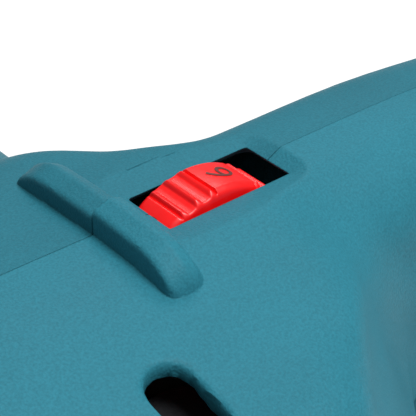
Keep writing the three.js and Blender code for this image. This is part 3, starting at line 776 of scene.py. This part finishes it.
def glossy_plastic(name, colour, roughness=0.36):
    """Smooth moulded plastic with slight sink and finger marks."""
    material, tree, shader, place = new_material(name)
    broad = noise(tree, place, 210.0, 2.0)
    smears = noise(tree, place, 900.0, 4.0)
    tree.links.new(
        tint(tree, spread(tree, broad, 0.0, 1.0), shade(colour, 0.94), shade(colour, 1.05)),
        shader.inputs["Base Color"],
    )
    tree.links.new(spread(tree, smears, roughness - 0.07, roughness + 0.1), shader.inputs["Roughness"])
    bump(tree, shader, broad, 0.2, 0.0001)
    return material


def cast_metal(name, colour, roughness=0.5):
    """Shot-blasted die casting."""
    material, tree, shader, place = new_material(name)
    shader.inputs["Metallic"].default_value = 1.0
    pits = noise(tree, place, 1500.0, 4.0)
    broad = noise(tree, place, 30.0, 4.0)
    tree.links.new(
        tint(tree, spread(tree, broad, 0.0, 1.0), shade(colour, 0.86), shade(colour, 1.08)),
        shader.inputs["Base Color"],
    )
    tree.links.new(spread(tree, pits, roughness - 0.1, roughness + 0.15), shader.inputs["Roughness"])
    bump(tree, shader, pits, 0.5, 0.00012)
    return material


def brushed_metal(name, colour, roughness=0.32, stretch=(8.0, 420.0, 420.0)):
    """Machined metal: its lines run along the axis with the smallest stretch."""
    material, tree, shader, place = new_material(name)
    shader.inputs["Metallic"].default_value = 1.0
    mapping = tree.nodes.new("ShaderNodeMapping")
    mapping.inputs["Scale"].default_value = stretch
    tree.links.new(place, mapping.inputs["Vector"])
    lines = noise(tree, mapping.outputs["Vector"], 9.0, 3.0)
    broad = noise(tree, place, 45.0, 3.0)
    tree.links.new(
        tint(tree, spread(tree, lines, 0.0, 1.0), shade(colour, 0.88), shade(colour, 1.06)),
        shader.inputs["Base Color"],
    )
    tree.links.new(spread(tree, broad, roughness - 0.08, roughness + 0.1), shader.inputs["Roughness"])
    bump(tree, shader, lines, 0.25, 0.00008)
    return material


def laminated_iron(name, colour):
    """Stacked laminations seen edge on, with lines across the tool."""
    return brushed_metal(name, colour, 0.45, stretch=(4.0, 900.0, 4.0))


def wound_copper(name, colour):
    """Enamelled wire laid side by side, painted darker in the grooves between turns as shade."""
    material, tree, shader, place = new_material(name)
    shader.inputs["Metallic"].default_value = 0.85
    shader.inputs["Coat Weight"].default_value = 0.4
    wave = tree.nodes.new("ShaderNodeTexWave")
    wave.inputs["Scale"].default_value = 420.0
    wave.inputs["Distortion"].default_value = 1.5
    tree.links.new(place, wave.inputs["Vector"])
    # The grooves between turns are painted half as dark: painted shade.
    tree.links.new(tint(tree, wave.outputs["Fac"], shade(colour, 0.5), colour), shader.inputs["Base Color"])
    tree.links.new(spread(tree, wave.outputs["Fac"], 0.3, 0.5, 0.0, 1.0), shader.inputs["Roughness"])
    bump(tree, shader, wave.outputs["Fac"], 0.6, 0.0003)
    return material


TEAL = (0.021, 0.158, 0.212)
RED = (0.86, 0.004, 0.005)
BLACK = (0.016, 0.017, 0.019)

looks = {
    "housing_plastic": grained_plastic("teal_plastic", TEAL),
    # The right half's copy is 14% darker: painted shade, because the far half falls away from the light.
    "housing_plastic_painted_shade": grained_plastic("teal_plastic_painted_shade", shade(TEAL, 0.86)),
    "black_plastic": grained_plastic("black_plastic", BLACK, 0.45, 1800.0),
    "red_plastic": glossy_plastic("red_plastic", RED),
    "pale_plastic": grained_plastic("pale_plastic", (0.62, 0.6, 0.54), 0.55),
    "cast_aluminium": cast_metal("cast_aluminium", (0.5, 0.51, 0.52)),
    "machined_aluminium": brushed_metal("machined_aluminium", (0.72, 0.73, 0.75)),
    "bright_steel": brushed_metal("bright_steel", (0.56, 0.56, 0.58), 0.25, (420.0, 8.0, 420.0)),
    "screw_steel": brushed_metal("screw_steel", (0.42, 0.42, 0.45), 0.35, (200.0, 200.0, 200.0)),
    "motor_iron": laminated_iron("motor_iron", (0.22, 0.22, 0.24)),
    "copper": wound_copper("wound_copper", (0.72, 0.32, 0.16)),
    "carbon": grained_plastic("carbon", (0.03, 0.03, 0.032), 0.6),
    "black_rubber": grained_plastic("black_rubber", (0.012, 0.012, 0.013), 0.75, 900.0),
    "ink": glossy_plastic("dial_ink", (0.11, 0.022, 0.016), 0.5),
}


# ---------------------------------------------------------------- housing
def make_housing():
    coarse, close, fine = 1.7, 0.9, 0.55
    xs = graded(-192.0, 68.0, coarse, (-64.0, -20.0, fine), (-20.0, 0.0, close))
    zs = graded(22.0, 168.0, coarse, (148.0, 155.0, close), (155.0, 165.4, fine))
    left_ys = graded(-1.0, 55.0, coarse, (-0.4, 13.2, fine), (13.2, 46.0, close))
    right_ys = graded(-74.0, 1.0, coarse, (-24.4, 0.4, fine))
    material = looks["housing_plastic"]
    left = mesh_object("left_shell", *dual_contour(left_half, (xs, left_ys, zs)))
    finish_piece(left, material, "housing", "housing_plastic", "left_housing_shell")
    right = mesh_object("right_shell", *dual_contour(right_half, (xs, right_ys, zs)))
    # The right shell gets the darker teal copy: painted shade on the half that faces away from the light.
    painted_shade_teal = looks["housing_plastic_painted_shade"]
    finish_piece(right, painted_shade_teal, "housing", "housing_plastic", "right_housing_shell")


def make_air_guide():
    """A black curved plate inside the housing behind the left air slots: a dark sheet standing for the
    shade in there.
    """
    radius, thick = 30.0, 1.5
    start, end, steps = -34, 86, 30  # degrees from the top, towards the front
    right_edge, left_edge = 24.0, 46.0
    vertices = []
    for i in range(steps + 1):
        a = math.radians(start + (end - start) * i / steps)
        for y in (right_edge, left_edge):
            for r in (radius, radius + thick):
                vertices.append((BARREL_X + r * math.sin(a), y, BARREL_Z + r * math.cos(a)))
    faces = [(0, 1, 3, 2), (4 * steps, 4 * steps + 2, 4 * steps + 3, 4 * steps + 1)]
    for i in range(steps):
        near = [4 * i + k for k in (0, 1, 3, 2)]
        far = [v + 4 for v in near]
        for k in range(4):
            faces.append((near[k], far[k], far[k - 3], near[k - 3]))
    shade_plate = listed_object("shade_plate_behind_slots", vertices, faces)
    finish_piece(shade_plate, looks["black_plastic"], "housing", "black_plastic")


# ---------------------------------------------------------------- depth knob
KNOB_X = 86.0
# (radius, z) up the outside of the knob; finger flutes are pressed into its upper bulge.
KNOB_PROFILE = [
    (23.0, 58.8), (23.4, 59.6), (23.4, 63.5), (22.6, 65.4), (19.5, 68.5), (16.6, 72.0), (15.2, 76.0),
    (15.4, 80.0), (17.4, 84.5), (21.0, 88.6), (24.2, 91.4), (25.2, 93.6), (25.2, 96.4), (24.2, 98.6),
    (21.5, 100.4), (15.0, 101.8), (12.2, 102.0), (11.8, 101.4), (0.0, 101.2),
]
KNOB_BORE = [(0.0, 84.0), (4.6, 84.0), (4.6, 58.8)]
FLUTES = 10
FLUTE_DEPTH = 1.1
FLUTE_LOW = 86.0
FLUTE_HIGH = 99.0
FLUTE_INNER_R = 16.0  # the flutes leave everything inside this radius alone
KNOB_STEPS = 120


def make_depth_knob():
    """The turned front knob, with flutes for the fingers."""
    profile = KNOB_BORE + catmull_rom(KNOB_PROFILE, 4)
    vertices = []
    for i in range(KNOB_STEPS):
        a = 2 * math.pi * i / KNOB_STEPS
        groove = max(0.0, math.cos(FLUTES * a)) ** 2
        for r, z in profile:
            height = (z - FLUTE_LOW) / (FLUTE_HIGH - FLUTE_LOW)
            pressed = FLUTE_DEPTH * groove * math.sin(math.pi * min(1.0, max(0.0, height)))
            reach = r - pressed if r > FLUTE_INNER_R else r
            vertices.append((KNOB_X + reach * math.cos(a), reach * math.sin(a), z))
    count = len(profile)
    faces = []
    for i in range(KNOB_STEPS):
        j = (i + 1) % KNOB_STEPS
        for k in range(count - 1):
            faces.append((i * count + k, j * count + k, j * count + k + 1, i * count + k + 1))
    knob = mesh_object("knob_grip", np.array(vertices), np.array(faces), 40)
    editable = bmesh.new()
    editable.from_mesh(knob.data)
    bmesh.ops.remove_doubles(editable, verts=editable.verts, dist=1e-6)
    bmesh.ops.recalc_face_normals(editable, faces=editable.faces)
    editable.to_mesh(knob.data)
    editable.free()
    finish_piece(knob, looks["black_plastic"], "knob", "black_plastic", "depth_knob")


# ---------------------------------------------------------------- speed dial
NUMBERS = 6
NUMBER_PITCH = 60.0  # degrees from one number to the next
PAD_REAR = -31.0  # degrees from the top, towards the rear
PAD_FRONT = 1.0
PAD_SUNK = 0.05  # the pads lie this much below the wheel's radius
PAD_EDGE_DROP = 0.55  # their rear edge rounds off by this much
PAD_EDGE_WIDTH = 1.8  # degrees
RIDGES = (4.5, 15.5, 26.5)  # degrees from the top, between two pads
RIDGE_HEIGHT = 0.85
RIDGE_PROUD = 0.1  # the ridges rise this much above the wheel's radius
RIDGE_HALF_WIDTH = 2.3  # degrees
SKIRT_HEIGHT = 0.35
SKIRT_REACH = 6.5  # degrees
RIM_CHAMFER = 0.8
CHAMFER_REACH = 1.6
CHAMFER_SLOPE = 1.15
SIDE_DROP = 0.55  # the side faces end this much below the valleys
SIDE_ROLL = 0.35
EDGE_SOFTNESS = 0.25
SECTION_STEPS = 8
DIAL_STEPS = 720
DISH_RADII = (11.6, 11.2, 4.2, 3.8)  # of the dish's edge and floor, and of the hub's foot and top
DISH_SHARE = 0.86  # the dish's floor lies at this share of the side face's distance

DIGIT_SIZE = 7.4
DIGIT_THINNING = -0.06
DIGIT_WIDENING = 1.15
DIGIT_LIFT = 0.02  # the print lies this much above the rim
DIGIT_FORWARD = 1.5  # degrees from the pad's middle


def dial_radius(degrees):
    """The rim's radius at an angle from the top, positive towards the front."""
    turns = (degrees - PAD_REAR) / NUMBER_PITCH
    local = (turns - math.floor(turns)) * NUMBER_PITCH + PAD_REAR
    valley = DIAL_R - RIDGE_HEIGHT
    if local <= PAD_FRONT:
        drop = PAD_EDGE_DROP * max(0.0, 1.0 - (local - PAD_REAR) / PAD_EDGE_WIDTH) ** 2
        return DIAL_R - PAD_SUNK - drop
    radius = valley
    crest_height = RIDGE_HEIGHT + RIDGE_PROUD - SKIRT_HEIGHT
    for ridge in RIDGES:
        off = abs(local - ridge)
        crest = max(0.0, 1.0 - (off / RIDGE_HALF_WIDTH) ** 2)
        skirt = SKIRT_HEIGHT * max(0.0, 1.0 - off / SKIRT_REACH) ** 2
        radius = max(radius, valley + skirt + crest_height * crest)
    return radius


def dial_section(radius):
    """(y, r) from one side face over the rim to the other, for a rim of this radius."""
    side_r = DIAL_R - RIDGE_HEIGHT - SIDE_DROP
    half = []
    for step in range(SECTION_STEPS + 1):
        inward = RIM_CHAMFER * CHAMFER_REACH * step / SECTION_STEPS
        roll = SIDE_ROLL * (1 - (1 - min(1.0, step / 2)) ** 2)
        cone = side_r + roll + inward * CHAMFER_SLOPE
        r = radius - EDGE_SOFTNESS * math.log1p(math.exp((radius - cone) / EDGE_SOFTNESS))
        half.append((inward, r))
    right = [(DIAL_RIGHT + inward, r) for inward, r in half]
    left = [(DIAL_LEFT - inward, r) for inward, r in reversed(half)]
    return right + left


def make_dial():
    vertices = []
    count = len(dial_section(DIAL_R))
    for i in range(DIAL_STEPS):
        degrees = 360.0 * i / DIAL_STEPS
        a = math.radians(degrees)
        for y, r in dial_section(dial_radius(degrees)):
            vertices.append((DIAL_X + r * math.sin(a), y, DIAL_Z + r * math.cos(a)))
    faces = []
    for i in range(DIAL_STEPS):
        j = (i + 1) % DIAL_STEPS
        for k in range(count - 1):
            faces.append((i * count + k, i * count + k + 1, j * count + k + 1, j * count + k))
    # Each side closes in rings: a shallow dish round a raised hub.
    for edge, y_side in ((0, DIAL_RIGHT), (count - 1, DIAL_LEFT)):
        inner = y_side * DISH_SHARE
        previous = [i * count + edge for i in range(DIAL_STEPS)]
        for ring_r, ring_y in zip(DISH_RADII, (y_side, inner, inner, y_side)):
            ring = []
            for i in range(DIAL_STEPS):
                a = math.radians(360.0 * i / DIAL_STEPS)
                ring.append(len(vertices))
                vertices.append((DIAL_X + ring_r * math.sin(a), ring_y, DIAL_Z + ring_r * math.cos(a)))
            for i in range(DIAL_STEPS):
                j = (i + 1) % DIAL_STEPS
                quad = (previous[i], previous[j], ring[j], ring[i])
                faces.append(quad if edge == 0 else quad[::-1])
            previous = ring
        faces.append(tuple(previous) if edge == 0 else tuple(previous[::-1]))
    wheel = listed_object("dial_wheel", vertices, faces)
    finish_piece(wheel, looks["red_plastic"], "speed_dial", "red_plastic", "speed_dial")


def make_dial_numbers():
    """Numbers printed on the pads, wrapped onto the rim. Their tops point forwards."""
    pad_middle = (PAD_REAR + PAD_FRONT) / 2 + DIGIT_FORWARD
    builder = bmesh.new()
    for number in range(1, NUMBERS + 1):
        curve = bpy.data.curves.new("number", "FONT")
        curve.body = str(number)
        curve.size = DIGIT_SIZE
        curve.align_x = "CENTER"
        curve.align_y = "CENTER"
        curve.offset = DIGIT_THINNING
        text = link_piece("number", curve)
        bpy.context.view_layer.update()
        flat = text.to_mesh()
        part = bmesh.new()
        part.from_mesh(flat)
        bmesh.ops.triangulate(part, faces=part.faces)
        bmesh.ops.subdivide_edges(part, edges=part.edges, cuts=2, use_grid_fill=True)
        heights = [v.co.y for v in part.verts]
        middle = (min(heights) + max(heights)) / 2
        angle = math.radians(pad_middle + (NUMBERS - number) * NUMBER_PITCH)
        for vertex in part.verts:
            along = (vertex.co.y - middle) / DIAL_R + angle
            r = DIAL_R + DIGIT_LIFT
            side = -vertex.co.x * DIGIT_WIDENING + (DIAL_LEFT + DIAL_RIGHT) / 2
            vertex.co = to_row(DIAL_X + r * math.sin(along), side, DIAL_Z + r * math.cos(along))
        joined = bpy.data.meshes.new("part")
        part.to_mesh(joined)
        builder.from_mesh(joined)
        part.free()
        text.to_mesh_clear()
        bpy.data.objects.remove(text)
        bpy.data.meshes.remove(joined)
    mesh = bpy.data.meshes.new("dial_numbers")
    bmesh.ops.recalc_face_normals(builder, faces=builder.faces)
    builder.to_mesh(mesh)
    builder.free()
    piece = link_piece("dial_numbers", mesh)
    finish_piece(piece, looks["ink"], "speed_dial", "red_plastic")


# ---------------------------------------------------------------- carried-over CAD nodes
EDGE_WIDTH = 0.4
CREASE_DEGREES = 35


def dress_cad_nodes():
    """Every CAD node that stays gets its slot's material, softened edges and smooth shading."""
    slots = {s["node"]: s["material_slot"] for s in frame["record"]["subparts"]}
    for name, node in frame["nodes"].items():
        node.data.materials.clear()
        node.data.materials.append(looks[slots[name]])
        if node.hide_render:
            continue
        edges = node.modifiers.new("edges", "BEVEL")
        edges.width = EDGE_WIDTH * MM
        edges.segments = 2
        edges.limit_method = "ANGLE"
        edges.angle_limit = math.radians(CREASE_DEGREES)
        edges.harden_normals = False
        smooth_between_creases(node.data, CREASE_DEGREES)


# ---------------------------------------------------------------- studio, in metres
FLOOR_SIZE = 12.0
FLOOR_Z = -0.0005
FLOOR_COLOUR = (0.84, 0.84, 0.84, 1)
# (name, place from the point that the lights aim at, size, power in watts)
LIGHTS = [
    ("key", (-0.25, 0.92, 2.05), 1.1, 58.0),
    ("rim", (-1.2, -1.4, 2.3), 1.5, 28.0),
]
AIM_Z = 120  # millimetres
WORLD_STRENGTH = 0.28


def make_floor():
    bpy.ops.mesh.primitive_plane_add(size=FLOOR_SIZE, location=(0, 0, FLOOR_Z))
    floor = bpy.context.object
    floor.name = "floor"
    material = bpy.data.materials.new("floor")
    material.use_nodes = True
    shader = material.node_tree.nodes["Principled BSDF"]
    shader.inputs["Base Color"].default_value = FLOOR_COLOUR
    shader.inputs["Roughness"].default_value = 0.9
    floor.data.materials.append(material)


def area_light(name, place, size, power, aim):
    data = bpy.data.lights.new(name, "AREA")
    data.shape = "DISK"
    data.size = size
    data.energy = power
    light = bpy.data.objects.new(name, data)
    light.location = place
    light.rotation_mode = "QUATERNION"
    light.rotation_quaternion = (Vector(aim) - Vector(place)).to_track_quat("-Z", "Y")
    bpy.context.scene.collection.objects.link(light)


def make_studio():
    make_floor()
    aim = to_row(DIAL_X, 0, AIM_Z)
    for name, place, size, power in LIGHTS:
        area_light(name, aim + Vector(place), size, power, aim)
    world = bpy.data.worlds.new("studio")
    world.use_nodes = True
    background = world.node_tree.nodes["Background"]
    background.inputs["Color"].default_value = (1, 1, 1, 1)
    background.inputs["Strength"].default_value = WORLD_STRENGTH
    bpy.context.scene.world = world
    bpy.context.scene.view_settings.view_transform = "Standard"


make_housing()
# A black plate stands for the shade behind the left air slots.
make_air_guide()
make_depth_knob()
make_dial()
make_dial_numbers()
dress_cad_nodes()
make_studio()
